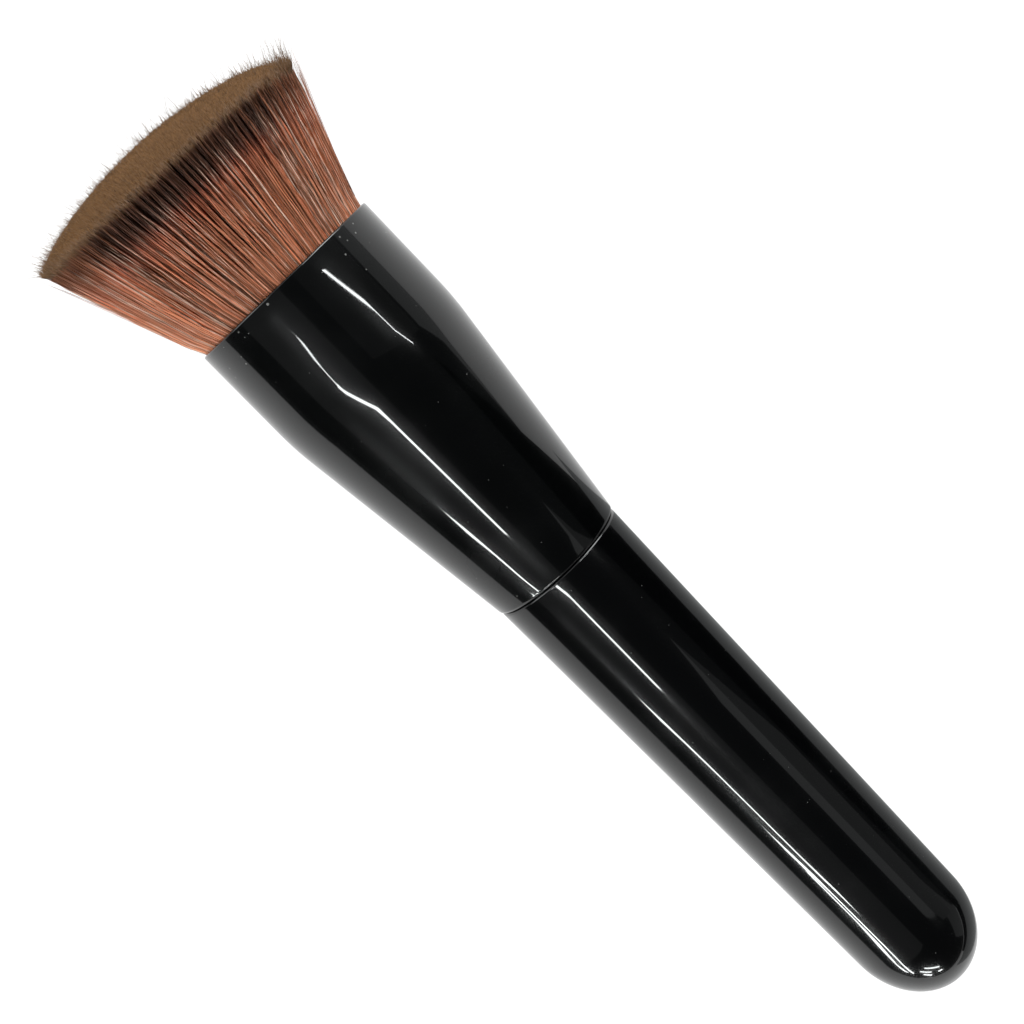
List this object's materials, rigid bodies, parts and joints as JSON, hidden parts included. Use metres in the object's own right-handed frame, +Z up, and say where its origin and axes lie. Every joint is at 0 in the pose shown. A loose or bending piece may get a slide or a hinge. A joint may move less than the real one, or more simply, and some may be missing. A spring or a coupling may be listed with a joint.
{
  "type": "makeup brush",
  "caption": "Dense flat-top powder brush: flared copper-brown fibre head with a slanted, domed face, in a tapered black metal ferrule on a turned black handle.",
  "frame": {"origin": "on the floor, under the middle of the brush as it lies", "axes": "+Z up from the floor; the brush lies along X with its fibres towards -X and the end of its handle towards +X; the low side of the slanted face is uppermost"},
  "size_m": [0.1394, 0.037, 0.0355],
  "materials": {
    "handle_lacquer": "turned wood under gloss black lacquer",
    "ferrule_lacquer": "drawn aluminium tube under gloss black lacquer",
    "fibre": "fine synthetic fibre, copper-brown with a dark band and tan tips",
    "resin_set_roots": "fibre ends set in cured resin",
    "binding_thread": "wound nylon thread",
    "epoxy": "cured epoxy"
  },
  "bodies": {
    "root": {"handle": "handle_lacquer", "ferrule": "ferrule_lacquer", "bristles": "fibre", "bristle_roots": "resin_set_roots", "root_binding": "binding_thread", "epoxy_fill": "epoxy"}
  },
  "joints": []
}
